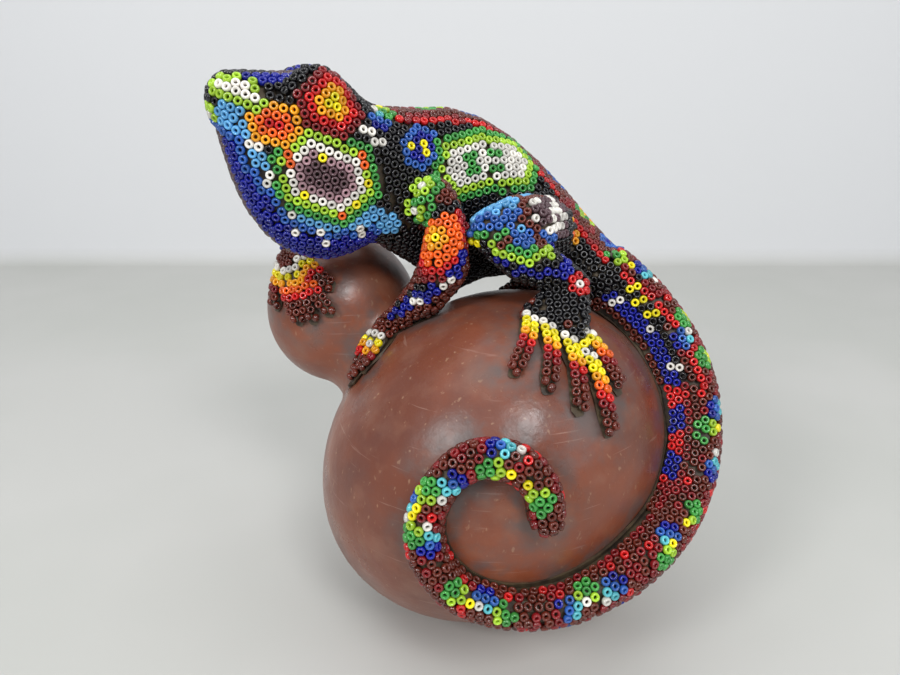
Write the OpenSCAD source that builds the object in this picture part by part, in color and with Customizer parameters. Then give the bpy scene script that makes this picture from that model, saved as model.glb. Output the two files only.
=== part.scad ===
// Beaded lizard on a bottle gourd, a table figure.
//
// A dried bottle gourd lies on its side on a small flat. A carved lizard stands on it, with one hand
// on the gourd's small lobe and the tail wound round the large bulb in a spiral. Every limb of the
// lizard is a core, a coat of beeswax round the core, and a skin of glass seed beads set in the wax.
// A pad of bedding wax joins each hand, each foot and the tail to the gourd.
//
// Millimetres, +Z up, the lizard's left side towards -Y. The origin is the centre of the flat.
// Left and right are the lizard's own.

/* [Gourd] */
// Half the large bulb's size along its own axis
bulb_half_length = 39.3; // [38.5:0.1:40]
// Half the large bulb's size across its own axis
bulb_half_width = 45.5; // [45:0.1:46]
// Height of the bulb's centre above the table
bulb_height = 41; // [40.5:0.1:41.5]
// Radius of the small lobe
lobe_radius = 20; // [19:0.5:21]
// Radius of the hollow curve between bulb and lobe
neck_hollow = 8; // [7:0.5:10]
// Thickness of the dried shell
shell_t = 3.5; // [2.5:0.5:4]

/* [Lizard] */
// Thickness of the beeswax coat
wax_t = 0.8; // [0.6:0.1:1]
// Thickness of the skin of beads
bead_t = 1.4; // [1.2:0.1:1.5]
// Thickness of the bedding wax under hands, feet and tail
pad_t = 0.7; // [0.5:0.1:0.9]
// Radius of a toe or finger with its beads on
toe_r = 2.1; // [2:0.1:2.3]

/* [Hidden] */

core_inset = bead_t + wax_t;

// The bulb is squat, and its axis leans up and away to the lizard's right.
bulb_turn = 150;
bulb_rise = 47;
// The neck bends a little, so the small lobe lies lower than the bulb's axis points.
lobe_turn = 153.6;
lobe_rise = 35.9;
lobe_distance = 55.2;
// The far end of the lobe is flattened at this distance from the lobe's centre.
lobe_end = 17.5;

function direction(turn, rise) = [cos(rise) * cos(turn), cos(rise) * sin(turn), sin(rise)];
function unit(v) = v / norm(v);

bulb_axis = direction(bulb_turn, bulb_rise);
lobe_centre = direction(lobe_turn, lobe_rise) * lobe_distance;

// Distance from the bulb's centre to its surface along a unit vector.
function bulb_radius(u, extra = 0) =
    let (m = pow(u * bulb_axis, 2))
    1 / sqrt(m / pow(bulb_half_length + extra, 2) + (1 - m) / pow(bulb_half_width + extra, 2));
function on_bulb(turn, rise, lift) =
    let (u = direction(turn, rise)) u * (bulb_radius(u) + lift);

// The hollow curve touches a ball of the bulb's size and the lobe. Its centre lies this far along the
// lobe's axis and out from it.
lobe_axis = unit(lobe_centre);
across_bulb = bulb_radius(lobe_axis) + neck_hollow;
across_lobe = lobe_radius + neck_hollow;
hollow_along = (pow(across_bulb, 2) - pow(across_lobe, 2) + pow(lobe_distance, 2)) / (2 * lobe_distance);
hollow_out = sqrt(pow(across_bulb, 2) - pow(hollow_along, 2));
hollow_start = atan2(hollow_out, hollow_along);
hollow_end = atan2(hollow_out, hollow_along - lobe_distance);

// A point over the bulb, or over the hollow where that rises from the bulb.
function on_gourd(turn, rise, lift) =
    let (u = direction(turn, rise),
         a = acos(u * lobe_axis),
         b = hollow_along * cos(a) + hollow_out * sin(a),
         surface = u * (b - sqrt(max(0, b * b - pow(across_bulb, 2) + pow(neck_hollow, 2)))),
         hollow_centre = lobe_axis * hollow_along + unit(u - lobe_axis * cos(a)) * hollow_out)
    a < hollow_start ? surface + unit(hollow_centre - surface) * lift : on_bulb(turn, rise, lift);

// The bulb's lowest point, seen from its centre, is over the origin.
squash = pow(bulb_half_width, 2) - pow(bulb_half_length, 2);
lowest_drop = sqrt(pow(bulb_half_width, 2) - squash * pow(bulb_axis.z, 2));
bulb_centre = [
    -squash * bulb_axis.z * bulb_axis.x / lowest_drop,
    -squash * bulb_axis.z * bulb_axis.y / lowest_drop,
    bulb_height
];

// Catmull-Rom value between the entries of a list, with u from 0 to len(list) - 1.
function spline(list, u) =
    let (last = len(list) - 1,
         i = max(0, min(floor(u), last - 1)),
         t = u - i,
         a = list[max(i - 1, 0)],
         b = list[i],
         c = list[i + 1],
         d = list[min(i + 2, last)])
    0.5 * (2 * b + (c - a) * t + (2 * a - 5 * b + 4 * c - d) * t * t
        + (3 * b - a - 3 * c + d) * t * t * t);

// ---- Sections of the head and torso, from the snout to the root of the tail.
// [x, y, z] from the bulb's centre, half width, height above and below the centre,
// heading, dive.
TRUNK = [
    [-59.9, -8.9, 86.4, 3.6, 4.2, 5.2, 23, 0],
    [-59.2, -8.6, 85.8, 4.9, 5.8, 9.2, 23, 0],
    [-57.8, -8.0, 84.2, 6.5, 8.2, 14.4, 23, 0],
    [-55.5, -7.1, 81.0, 8.0, 11.6, 17.8, 23, 0],
    [-51.8, -5.5, 78.0, 9.6, 14.6, 21.0, 23, 0],
    [-46.7, -3.3, 75.0, 11.0, 17.4, 22.2, 23, 0],
    [-41.2, -1.0, 74.0, 12.0, 18.6, 22.9, 23, 0],
    [-36.6, 1.0, 74.0, 12.6, 18.4, 22.4, 23, 0],
    [-32.9, 2.5, 73.0, 12.6, 15.8, 19.8, 23, 0],
    [-29.7, 3.9, 71.0, 12.4, 15.0, 16.8, 24, 0],
    [-25.6, 5.9, 69.5, 12.2, 15.5, 18.3, 27, 0],
    [-18.5, 11.0, 68.0, 12.5, 16.6, 22.6, 28, 0],
    [-9.5, 15.8, 66.8, 13.2, 17.0, 27.4, 20, 6],
    [-0.5, 17.3, 62.8, 13.6, 15.0, 28.0, 0, 22],
    [8.6, 16.0, 56.4, 13.0, 12.3, 20.0, -20, 38],
    [17.0, 12.5, 49.8, 11.2, 10.2, 9.8, -32, 49],
    [24.4, 8.2, 45.0, 9.2, 8.8, 5.9, -40, 50],
    [28.8, 4.4, 41.4, 8.2, 8.2, 4.9, -46, 53]
];
// The head ends and the torso begins at this section.
neck = 10;
trunk_end = len(TRUNK) - 1;
// Under 1, a section is squarer than an ellipse.
trunk_squareness = 0.86;
// No section of an inner form is set in to less than this half size.
least_half = 0.5;
// The snout is rounded off by rings that shrink by these factors and bulge forward by up to this much.
SNOUT_RINGS = [0.2, 0.55, 0.82];
snout_bulge = 1.6;
// How far the trunk runs on past its last section, where a plane cuts it off.
overrun = 0.2;
// Steps and sides of the outer surface of the trunk, and of the surfaces inside it.
trunk_steps = 28;
trunk_sides = 20;
inner_trunk_steps = 19;
inner_trunk_sides = 11;
// An inner form's front rings move back by its inset, fading out over this many sections.
snout_sections = 3;

// The brow over each eye is a low dome beside the middle of the skull.
brow = [-41.5, -1.2, 85.2];
brow_spread = 6.2;
brow_half = [8.4, 6.2, 8.6];
brow_heading = 23;
brow_ball = 10;

// ---- Route of the tail on the bulb: turn, rise, height of its middle over the surface, half width.
TAIL = [
    [14.5, 60.5, 9.9, 7.3],
    [11, 57, 8.8, 7.8],
    [5, 49, 8.0, 7.1],
    [-2, 39, 7.4, 6.6],
    [-8, 29, 7.0, 6.6],
    [-14, 18, 6.4, 6.6],
    [-22, 7, 6.0, 6.5],
    [-32, -2, 5.6, 6.2],
    [-45, -6.5, 5.3, 5.8],
    [-60, -11.5, 4.9, 5.2],
    [-75, -15, 4.3, 4.6],
    [-89, -13.5, 3.8, 4.1],
    [-101, -7.5, 3.7, 4.0],
    [-108, 2, 3.7, 4.0],
    [-109.5, 12, 3.7, 4.0],
    [-105, 22, 3.6, 3.9],
    [-97, 27.3, 3.8, 4.2],
    [-87, 26, 3.8, 4.2],
    [-81.5, 20, 3.6, 4.0],
    [-80.5, 13, 3.3, 3.7]
];
tail_end = len(TAIL) - 1;
// The section is a little flatter than round, and squarer than an ellipse.
tail_flatness = 0.98;
tail_squareness = 0.9;
// The tip is rounded off by rings that shrink by these factors and bulge forward by up to this much.
TIP_RINGS = [0.85, 0.6, 0.25];
tip_bulge = 3.4;
tail_sides = 12;
inner_tail_sides = 8;
// The tail's section reaches this far under the gourd's surface, where the gourd cuts it off.
tail_sink = 3;
// Inside the rump it reaches only this far under its middle, and this much further with each row.
tail_root_depth = 5;
tail_root_growth = 6;
// An inner form starts further back in the rump than the one round it, by this much per millimetre.
tail_root_lead = 0.1;
// The tail's direction is measured over this fraction of a row each way.
tail_nudge = 0.05;

// ---- Limbs: [x, y, z, radius] from the bulb's centre, and toes as [turn, rise] of root and tip.
LEFT_ARM = [
    [-20, 3, 64, 6.6],
    [-15, -3, 65, 5.8],
    [-11.7, -5, 62.3, 4.2],
    [-12.2, -7.4, 57, 5.2],
    [-12.4, -6.1, 51.0, 6.2],
    [-16.4, -2.9, 43.1, 5.2],
    [-22.9, 0.3, 36.9, 3.5],
    [-26.5, 1, 34, 2.8]
];
LEFT_FINGERS = [
    [186, 49, 195, 40],
    [184, 47.5, 191, 34],
    [182, 46.5, 187, 32],
    [180, 47.5, 184, 35],
    [178.5, 49, 181.5, 41]
];
RIGHT_ARM = [
    [-20, 21, 63, 6.6],
    [-29, 29, 64, 5.4],
    [-38, 33, 63, 4.8],
    [-46, 28, 57, 4.4],
    [-51, 14, 50.5, 3.2]
];
// Fingers on the small lobe, as points from the lobe's centre.
RIGHT_FINGERS = [
    [[-6.8, -12.4, 16], [-3.5, -15.1, 13.8], [-0.2, -17.8, 11.6]],
    [[-7.8, -13.7, 14.3], [-4, -17.1, 10.1], [-0.1, -20.5, 5.9]],
    [[-10, -13, 13.6], [-7, -16.8, 8.8], [-4.1, -20.5, 3.9]],
    [[-11.8, -11.8, 13.2], [-9.9, -15.7, 8.2], [-8, -19.5, 3.2]],
    [[-13.5, -9.8, 13.2], [-14, -12.2, 9.4], [-14.6, -14.5, 5.5]]
];
LEFT_LEG = [
    [11, 5, 56.5, 8.6],
    [5.5, -2.5, 57.8, 8.8],
    [-2.1, -5.5, 58.8, 5.2],
    [5, -9.5, 53.5, 5.6],
    [12, -10, 50.5, 4.6],
    [17.2, -9.5, 47, 3.8]
];
LEFT_TOES = [
    [-66, 70, -86, 50],
    [-60, 66, -74.7, 44.3],
    [-55, 60, -65.9, 37.6],
    [-52, 54, -57.3, 30.3],
    [-44, 59, -46.5, 39.2]
];
RIGHT_LEG = [
    [14, 25, 56, 9.0],
    [6, 31, 56, 8.6],
    [0, 36, 55, 5.8],
    [7, 37.5, 49, 5.2],
    [13, 36, 43, 4.4],
    [15.5, 32, 39.5, 3.8]
];
RIGHT_TOES = [
    [80, 54, 99, 38],
    [74, 52, 86, 31],
    [68, 50, 74, 26],
    [62, 50, 62, 27],
    [57, 54, 50, 36]
];
// A toe's middle lies this far over the gourd.
toe_lift = 1.5;
toe_steps = 2;
// A toe is this much thinner at its tip, and a finger on the lobe at each of its points.
toe_taper = 0.35;
finger_taper = 0.15;
// Sides of the balls that make the limbs and toes.
limb_sides = 9;
inner_limb_sides = 7;
outer_toe_sides = 6;
inner_toe_sides = 5;

// ---- Shapes

// A loft through rings of points, with flat ends.
module loft(rings) {
    count = len(rings);
    sides = len(rings[0]);
    points = [for (ring = rings) each ring];
    walls = [
        for (i = [0 : count - 2], k = [0 : sides - 1])
            let (a = i * sides + k,
                 b = i * sides + (k + 1) % sides,
                 c = b + sides,
                 d = a + sides)
            each [[a, b, c], [a, c, d]]
    ];
    start = [for (k = [sides - 1 : -1 : 0]) k];
    end = [for (k = [0 : sides - 1]) (count - 1) * sides + k];
    polyhedron(points, concat([start], walls, [end]));
}

// One ring round a centre. Angle 0 is at the side and 90 on top.
function ring(centre, side, up, half_w, above, below, square, sides) = [
    for (k = [0 : sides - 1])
        let (a = 360 * k / sides,
             c = sign(cos(a)) * pow(abs(cos(a)), square),
             s = sign(sin(a)) * pow(abs(sin(a)), square))
        centre + side * half_w * c + up * (s > 0 ? above : below) * s
];

function trunk_ring(u, inset, shrink, push, sides) =
    let (p = spline(TRUNK, u),
         side = [sin(p[6]), -cos(p[6]), 0],
         along = [cos(p[7]) * cos(p[6]), cos(p[7]) * sin(p[6]), -sin(p[7])],
         up = cross(side, along))
    ring([p[0], p[1], p[2]] + along * push, side, up,
         max(p[3] - inset, least_half) * shrink,
         max(p[4] - inset, least_half) * shrink,
         max(p[5] - inset, least_half) * shrink,
         trunk_squareness, sides);

// The whole trunk, with a rounded snout.
module trunk(inset) {
    steps = inset > 0 ? inner_trunk_steps : trunk_steps;
    sides = inset > 0 ? inner_trunk_sides : trunk_sides;
    snout = [
        for (shrink = SNOUT_RINGS)
            trunk_ring(0, inset, shrink, inset - snout_bulge * sqrt(1 - shrink * shrink), sides)
    ];
    rest = [
        for (i = [0 : steps])
            let (u = (trunk_end + overrun) * i / steps)
            trunk_ring(u, inset, 1, inset * max(0, 1 - u / snout_sections), sides)
    ];
    loft(concat(snout, rest));
    for (way = [-1, 1])
        translate(brow)
            rotate([0, 0, brow_heading])
                translate([0, way * brow_spread, 0])
                    scale((brow_half - inset * [1, 1, 1]) / brow_ball)
                        sphere(r = brow_ball, $fn = inset > 0 ? 8 : 12);
}

// Everything behind a section's plane.
module behind(section) {
    reach = 60;
    p = TRUNK[section];
    translate([p[0], p[1], p[2]])
        rotate([0, p[7], p[6]])
            translate([0, -reach, -reach])
                cube([2 * reach, 2 * reach, 2 * reach]);
}

function tail_centre(u) = let (p = spline(TAIL, u)) on_bulb(p[0], p[1], p[2]);

function tail_ring(u, inset, shrink, push, sides) =
    let (p = spline(TAIL, u),
         centre = tail_centre(u),
         ahead = tail_centre(min(u + tail_nudge, tail_end)),
         back = tail_centre(min(u, tail_end - tail_nudge) - tail_nudge),
         along = unit(ahead - back),
         out = unit(centre),
         side = unit(cross(along, out)),
         up = cross(side, along),
         half_w = (p[3] - inset) * shrink,
         above = (p[3] * tail_flatness - inset) * shrink,
         below = min(p[2] + tail_sink, tail_root_depth + tail_root_growth * u))
    ring(centre + along * push, side, up, half_w, above, below, tail_squareness, sides);

module tail_form(inset, steps, sides) {
    first = -tail_root_lead * inset;
    tip = [
        for (shrink = TIP_RINGS)
            tail_ring(tail_end, inset, shrink, (tip_bulge - inset) * sqrt(1 - shrink * shrink), sides)
    ];
    middle = [
        for (i = [0 : steps])
            tail_ring(first + (tail_end - first) * i / steps, inset, 1, 0, sides)
    ];
    loft(concat(middle, tip));
}

module ball(p, inset, sides) {
    translate([p[0], p[1], p[2]]) sphere(r = p[3] - inset, $fn = sides);
}

// A limb or toe: a row of balls, each joined to the next.
module chain(balls, inset, sides) {
    for (i = [0 : len(balls) - 2]) {
        hull() {
            ball(balls[i], inset, sides);
            ball(balls[i + 1], inset, sides);
        }
    }
}

// The balls of one toe that lies on the bulb, from its root to its tip.
function toe(t) = [
    for (i = [0 : toe_steps])
        let (k = i / toe_steps,
             p = on_gourd(t[0] + (t[2] - t[0]) * k, t[1] + (t[3] - t[1]) * k, toe_lift),
             r = toe_r - toe_taper * k)
        [p.x, p.y, p.z, r]
];
function lobe_finger(points) = [
    for (i = [0 : len(points) - 1])
        let (p = lobe_centre + unit(points[i]) * (lobe_radius + toe_lift))
        [p.x, p.y, p.z, toe_r - finger_taper * i]
];
function bulb_toes(list) = [for (t = list) toe(t)];
function lobe_fingers(list) = [for (points = list) lobe_finger(points)];

// A limb with its toes. The core stops at the wrist, because a hand or foot is wax and beads alone.
module limb_form(balls, toes, inset) {
    sides = inset > 0 ? inner_limb_sides : limb_sides;
    toe_sides = inset > 0 ? inner_toe_sides : outer_toe_sides;
    chain(balls, inset, sides);
    if (inset < core_inset) {
        hull() {
            ball(balls[len(balls) - 1], inset, sides);
            for (t = toes) ball(t[0], inset, toe_sides);
        }
        for (t = toes) chain(t, inset, toe_sides);
    }
}

// One carved or moulded form: the shapes under it are merged into a single surface.
module carved() {
    resize([0, 0, 0]) children();
}

// ---- Gourd

// Steps of the profile outside and inside, and of the plain form that trims what lies on the gourd.
gourd_steps = 24;
inner_gourd_steps = 20;
trim_steps = 12;

function arc(centre, radius, from, to, steps) = [
    for (i = [0 : steps])
        let (a = from + (to - from) * i / steps)
        centre + radius * [cos(a), sin(a)]
];

// Turns the +Z axis of its children to a direction given as turn and rise.
module point_along(turn, rise) {
    rotate([0, 90 - rise, turn]) children();
}

module bulb_solid(extra, steps) {
    point_along(bulb_turn, bulb_rise)
        rotate_extrude($fn = 4 * steps)
            polygon([
                for (i = [0 : steps])
                    let (a = -90 + 180 * i / steps)
                    [(bulb_half_width + extra) * cos(a), (bulb_half_length + extra) * sin(a)]
            ]);
}

// The neck and the small lobe, from inside the bulb to the lobe's flattened end.
module lobe_solid(extra, steps) {
    small = lobe_radius + extra;
    end_angle = acos((lobe_end + extra) / small);
    inside = bulb_half_length / 2;
    bend = arc([hollow_out, hollow_along], neck_hollow - extra,
        270 - hollow_start, 270 - hollow_end, steps / 2);
    cap = arc([0, lobe_distance], small, 90 - hollow_end, 90 - end_angle, steps);
    point_along(lobe_turn, lobe_rise)
        rotate_extrude($fn = 2 * steps)
            polygon(concat([[0, inside], [bend[0].x, inside]], bend, cap,
                [[0, lobe_distance + lobe_end + extra]]));
}

// The outside of the gourd, grown by extra, with its centre at the bulb's centre.
module gourd_form(extra, steps) {
    bulb_solid(extra, steps);
    lobe_solid(extra, steps);
}

// The flat is where everything under the table's height is cut away.
flat_cut = 80;

module gourd_shell() {
    color("sienna")
        difference() {
            translate(bulb_centre)
                difference() {
                    gourd_form(0, gourd_steps);
                    gourd_form(-shell_t, inner_gourd_steps);
                }
            translate([-flat_cut / 2, -flat_cut / 2, -flat_cut])
                cube([flat_cut, flat_cut, flat_cut]);
        }
}

// ---- Lizard: each form is a solid with its surface set in by inset.

module head_form(inset) {
    difference() {
        trunk(inset);
        behind(neck);
    }
}

module torso_form(inset) {
    difference() {
        intersection() {
            trunk(inset);
            behind(neck);
        }
        behind(trunk_end);
    }
}

module tail_layer(inset) {
    if (inset > 0) tail_form(inset, 2 * tail_end, inner_tail_sides);
    else tail_form(inset, 3 * tail_end, tail_sides);
}

module left_arm_form(inset) {
    limb_form(LEFT_ARM, bulb_toes(LEFT_FINGERS), inset);
}

module right_arm_form(inset) {
    limb_form(RIGHT_ARM, lobe_fingers(RIGHT_FINGERS), inset);
}

module left_leg_form(inset) {
    limb_form(LEFT_LEG, bulb_toes(LEFT_TOES), inset);
}

module right_leg_form(inset) {
    limb_form(RIGHT_LEG, bulb_toes(RIGHT_TOES), inset);
}

// A piece of a limb or of the tail stops at the torso's beads and at the bedding wax.
module trimmed() {
    translate(bulb_centre)
        carved()
            difference() {
                children(0);
                union() {
                    if ($children > 1) children(1);
                    difference() {
                        trunk(0);
                        behind(trunk_end);
                    }
                    gourd_form(pad_t, trim_steps);
                }
            }
}

module core_colour() { color("burlywood") children(); }
module wax_colour() { color("olive") children(); }
module bead_colour(name) { color(name) children(); }

module head_core() {
    core_colour() translate(bulb_centre) carved() head_form(core_inset);
}

module torso_core() {
    core_colour() translate(bulb_centre) carved() torso_form(core_inset);
}

module tail_core() {
    core_colour() trimmed() tail_layer(core_inset);
}

module left_arm_core() {
    core_colour() trimmed() left_arm_form(core_inset);
}

module right_arm_core() {
    core_colour() trimmed() right_arm_form(core_inset);
}

module left_leg_core() {
    core_colour() trimmed() left_leg_form(core_inset);
}

module right_leg_core() {
    core_colour() trimmed() right_leg_form(core_inset);
}

module head_wax() {
    wax_colour()
        translate(bulb_centre)
            carved()
                difference() {
                    head_form(bead_t);
                    trunk(core_inset);
                }
}

module torso_wax() {
    wax_colour()
        translate(bulb_centre)
            carved()
                difference() {
                    torso_form(bead_t);
                    trunk(core_inset);
                }
}

module tail_wax() {
    wax_colour() trimmed() { tail_layer(bead_t); tail_layer(core_inset); }
}

module left_arm_wax() {
    wax_colour() trimmed() { left_arm_form(bead_t); left_arm_form(core_inset); }
}

module right_arm_wax() {
    wax_colour() trimmed() { right_arm_form(bead_t); right_arm_form(core_inset); }
}

module left_leg_wax() {
    wax_colour() trimmed() { left_leg_form(bead_t); left_leg_form(core_inset); }
}

module right_leg_wax() {
    wax_colour() trimmed() { right_leg_form(bead_t); right_leg_form(core_inset); }
}

module head_beadwork() {
    bead_colour("mediumblue")
        translate(bulb_centre)
            carved()
                difference() {
                    head_form(0);
                    trunk(bead_t);
                }
}

module torso_beadwork() {
    bead_colour("firebrick")
        translate(bulb_centre)
            carved()
                difference() {
                    torso_form(0);
                    trunk(bead_t);
                }
}

module tail_beadwork() {
    bead_colour("brown") trimmed() { tail_layer(0); tail_layer(bead_t); }
}

module left_arm_beadwork() {
    bead_colour("orange") trimmed() { left_arm_form(0); left_arm_form(bead_t); }
}

module right_arm_beadwork() {
    bead_colour("gold") trimmed() { right_arm_form(0); right_arm_form(bead_t); }
}

module left_leg_beadwork() {
    bead_colour("yellowgreen") trimmed() { left_leg_form(0); left_leg_form(bead_t); }
}

module right_leg_beadwork() {
    bead_colour("seagreen") trimmed() { right_leg_form(0); right_leg_form(bead_t); }
}

// ---- Bedding wax: a skin on the gourd under the form, a little wider than the form.
pad_margin = 0.4;

module bedding() {
    wax_colour()
        translate(bulb_centre)
            carved()
                difference() {
                    intersection() {
                        children();
                        gourd_form(pad_t, trim_steps);
                    }
                    gourd_form(0, gourd_steps);
                }
}

module left_hand_pad() {
    bedding() left_arm_form(-pad_margin);
}

module right_hand_pad() {
    bedding() right_arm_form(-pad_margin);
}

module left_foot_pad() {
    bedding() left_leg_form(-pad_margin);
}

module right_foot_pad() {
    bedding() right_leg_form(-pad_margin);
}

module tail_pad() {
    bedding() tail_form(-pad_margin, 2 * tail_end, inner_tail_sides);
}

gourd_shell();
head_core();
torso_core();
tail_core();
left_arm_core();
right_arm_core();
left_leg_core();
right_leg_core();
head_wax();
torso_wax();
tail_wax();
left_arm_wax();
right_arm_wax();
left_leg_wax();
right_leg_wax();
head_beadwork();
torso_beadwork();
tail_beadwork();
left_arm_beadwork();
right_arm_beadwork();
left_leg_beadwork();
right_leg_beadwork();
left_hand_pad();
right_hand_pad();
left_foot_pad();
right_foot_pad();
tail_pad();
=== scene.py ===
# Looks for the beaded lizard on a gourd.
#
# The lizard's surface is taken from the CAD frame, rounded off, and covered with separate glass beads
# in a close packing that grows outward from seed rows and from the middle of each pattern. Patterns
# are rings of beads counted outward from a few core beads. Lengths are in millimetres until a mesh is
# made, when they become metres.
import math
import random
from collections import deque
from itertools import product

import bpy
import numpy as np
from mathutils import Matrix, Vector
from mathutils.bvhtree import BVHTree
from mathutils.kdtree import KDTree


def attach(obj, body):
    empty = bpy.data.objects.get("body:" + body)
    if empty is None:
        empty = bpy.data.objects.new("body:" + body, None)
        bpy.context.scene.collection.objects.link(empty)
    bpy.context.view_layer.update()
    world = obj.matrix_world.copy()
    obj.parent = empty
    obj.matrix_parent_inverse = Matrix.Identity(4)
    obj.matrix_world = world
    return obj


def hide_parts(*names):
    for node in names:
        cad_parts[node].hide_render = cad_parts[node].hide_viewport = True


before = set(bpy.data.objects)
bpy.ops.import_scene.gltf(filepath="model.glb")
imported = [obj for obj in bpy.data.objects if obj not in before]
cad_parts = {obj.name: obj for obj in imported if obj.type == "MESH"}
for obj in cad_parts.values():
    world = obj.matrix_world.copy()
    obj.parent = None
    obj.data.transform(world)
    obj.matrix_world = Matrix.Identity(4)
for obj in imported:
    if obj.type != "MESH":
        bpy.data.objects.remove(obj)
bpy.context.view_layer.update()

MM = 0.001
random.seed(11)

REGIONS = ["head", "torso", "tail", "left_arm", "right_arm", "left_leg", "right_leg"]
# The gourd in the row frame: centres of the large bulb and of the small lobe.
BULB = Vector((5.4, -3.1, 41.0))
LOBE = Vector((-34.7, 16.8, 73.4))

# One seed bead.
BEAD_RADIUS = 0.99
HOLE_RADIUS = 0.35
BEAD_HEIGHT = 1.35
SPACING = 1.99
# A mesh of beads holds at most this many.
BEADS_PER_PIECE = 1000
# Finest detail kept when the lizard's surface is rounded off, and the rounds of smoothing.
VOXEL = 0.6
SKIN_ROUNDS = 12
# Smoothing moves a point towards its neighbours' middle by the first part, then back by the second.
STEP_IN = 0.5
STEP_OUT = -0.52
# A distance beyond the whole figure, where a ray towards it starts.
FAR = 200


# ---- Mesh helpers

def new_object(name, data):
    obj = bpy.data.objects.new(name, data)
    bpy.context.scene.collection.objects.link(obj)
    return obj


def mesh_object(name, vertices, faces, smooth=True):
    """An object from vertices in millimetres."""
    mesh = bpy.data.meshes.new(name)
    mesh.from_pydata((np.asarray(vertices) * MM).tolist(), [], [list(map(int, f)) for f in faces])
    mesh.update()
    if smooth:
        mesh.shade_smooth()
    return new_object(name, mesh)


def mesh_arrays(mesh):
    """Vertices in millimetres and faces of a mesh."""
    co = np.zeros(len(mesh.vertices) * 3)
    mesh.vertices.foreach_get("co", co)
    return co.reshape(-1, 3) / MM, [tuple(p.vertices) for p in mesh.polygons]


def joined(nodes):
    """Vertices in millimetres and faces of some CAD nodes, as one mesh."""
    vertices, faces, base = [], [], 0
    for node in nodes:
        co, polygons = mesh_arrays(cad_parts[node].data)
        vertices.append(co)
        faces += [tuple(i + base for i in polygon) for polygon in polygons]
        base += len(co)
    return np.vstack(vertices), faces


def tree_of(nodes):
    """A search tree over the surfaces of some CAD nodes."""
    vertices, faces = joined(nodes)
    return BVHTree.FromPolygons(vertices.tolist(), faces)


def point_tree(points):
    """A search tree over some points."""
    tree = KDTree(len(points))
    for i, p in enumerate(points):
        tree.insert(p, i)
    tree.balance()
    return tree


def outer_skin(nodes, voxel):
    """Vertices and quads of the closed outer surface round some CAD nodes."""
    vertices, faces = joined(nodes)
    work = mesh_object("work", vertices, faces, smooth=False)
    remesh = work.modifiers.new("remesh", "REMESH")
    remesh.mode = "VOXEL"
    remesh.voxel_size = voxel * MM
    evaluated = work.evaluated_get(bpy.context.evaluated_depsgraph_get())
    co, polygons = mesh_arrays(evaluated.to_mesh())
    quads = np.array([polygon for polygon in polygons if len(polygon) == 4])
    evaluated.to_mesh_clear()
    bpy.data.objects.remove(work)
    return largest_part(co, quads)


def edges_of(quads):
    """Pairs of vertices along the four sides of each quad."""
    return np.vstack([quads[:, [0, 1]], quads[:, [1, 2]], quads[:, [2, 3]], quads[:, [3, 0]]])


def largest_part(co, quads):
    """The connected part with the most vertices."""
    label = np.arange(len(co))
    edges = edges_of(quads)
    while True:
        low = np.minimum(label[edges[:, 0]], label[edges[:, 1]])
        new = label.copy()
        np.minimum.at(new, edges[:, 0], low)
        np.minimum.at(new, edges[:, 1], low)
        new = new[new]
        if (new == label).all():
            break
        label = new
    keep = label == np.bincount(label).argmax()
    index = np.cumsum(keep) - 1
    return co[keep], index[quads[keep[quads[:, 0]]]]


def smoothed(co, quads, rounds):
    """Rounds off facets without shrinking the shape much."""
    edges = edges_of(quads)
    count = np.bincount(edges[:, 0], minlength=len(co))[:, None]
    for step in range(2 * rounds):
        total = np.stack(
            [np.bincount(edges[:, 0], co[edges[:, 1], k], minlength=len(co)) for k in range(3)], 1
        )
        co = co + (STEP_IN if step % 2 == 0 else STEP_OUT) * (total / count - co)
    return co


def normals_of(co, quads):
    """Outward unit normals at the vertices."""
    a, b, c, d = (co[quads[:, k]] for k in range(4))
    face = np.cross(c - a, d - b)
    out = np.zeros_like(co)
    for k in range(4):
        np.add.at(out, quads[:, k], face)
    return out / np.linalg.norm(out, axis=1)[:, None]


# ---- Surfaces

lizard_nodes = [r + part for r in REGIONS for part in ("_core", "_wax", "_beadwork")]
pad_nodes = ["left_hand_pad", "right_hand_pad", "left_foot_pad", "right_foot_pad", "tail_pad"]
skin_co, skin_quads = outer_skin(lizard_nodes + pad_nodes, VOXEL)
skin_co = smoothed(skin_co, skin_quads, SKIN_ROUNDS)
skin_normals = normals_of(skin_co, skin_quads)
# The surface through the middles of the beads.
middle = skin_co - skin_normals * BEAD_HEIGHT / 2
middle_tree = BVHTree.FromPolygons(middle.tolist(), skin_quads.tolist())
gourd_tree = tree_of(["gourd_shell"])
region_trees = {r: tree_of([r + "_beadwork"]) for r in REGIONS}
# Beads of a toe or a finger are at most this far over the gourd, and at least this far.
TOE_HIGHEST = 6.5
TOE_LOWEST = 1.2


def direction(turn, rise):
    """A unit vector from its turn about the upright and its rise over the level, in degrees."""
    turn, rise = math.radians(turn), math.radians(rise)
    return Vector((math.cos(rise) * math.cos(turn), math.cos(rise) * math.sin(turn), math.sin(rise)))


def over(centre, ray):
    """The top of the toe or finger that lies on the gourd where a ray leaves it, if there is one."""
    ray = ray.normalized()
    ground = gourd_tree.ray_cast(centre + ray * FAR, -ray)[0]
    return middle_tree.ray_cast(ground + ray * TOE_LOWEST, ray, TOE_HIGHEST)[0]


# ---- Packing of the beads

# As parts of the spacing: how near a new bead may lie to others, how far its neighbours may be, the
# height of a triangle of touching beads, and the share of an overlap that a bead gives way by.
LOOSE = 0.9
NEIGHBOUR = 1.35
TRIANGLE = 0.866
GIVE = 0.4
# Two beads on the same face of the body have normals with at least this cosine between them.
SAME_FACE = 0.2
# Gap between a bead and the gourd, and the parts of a bead's radius and height that count against it.
GOURD_GAP = 0.25
RADIUS_PART = 0.85
HEIGHT_PART = 0.3


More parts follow.
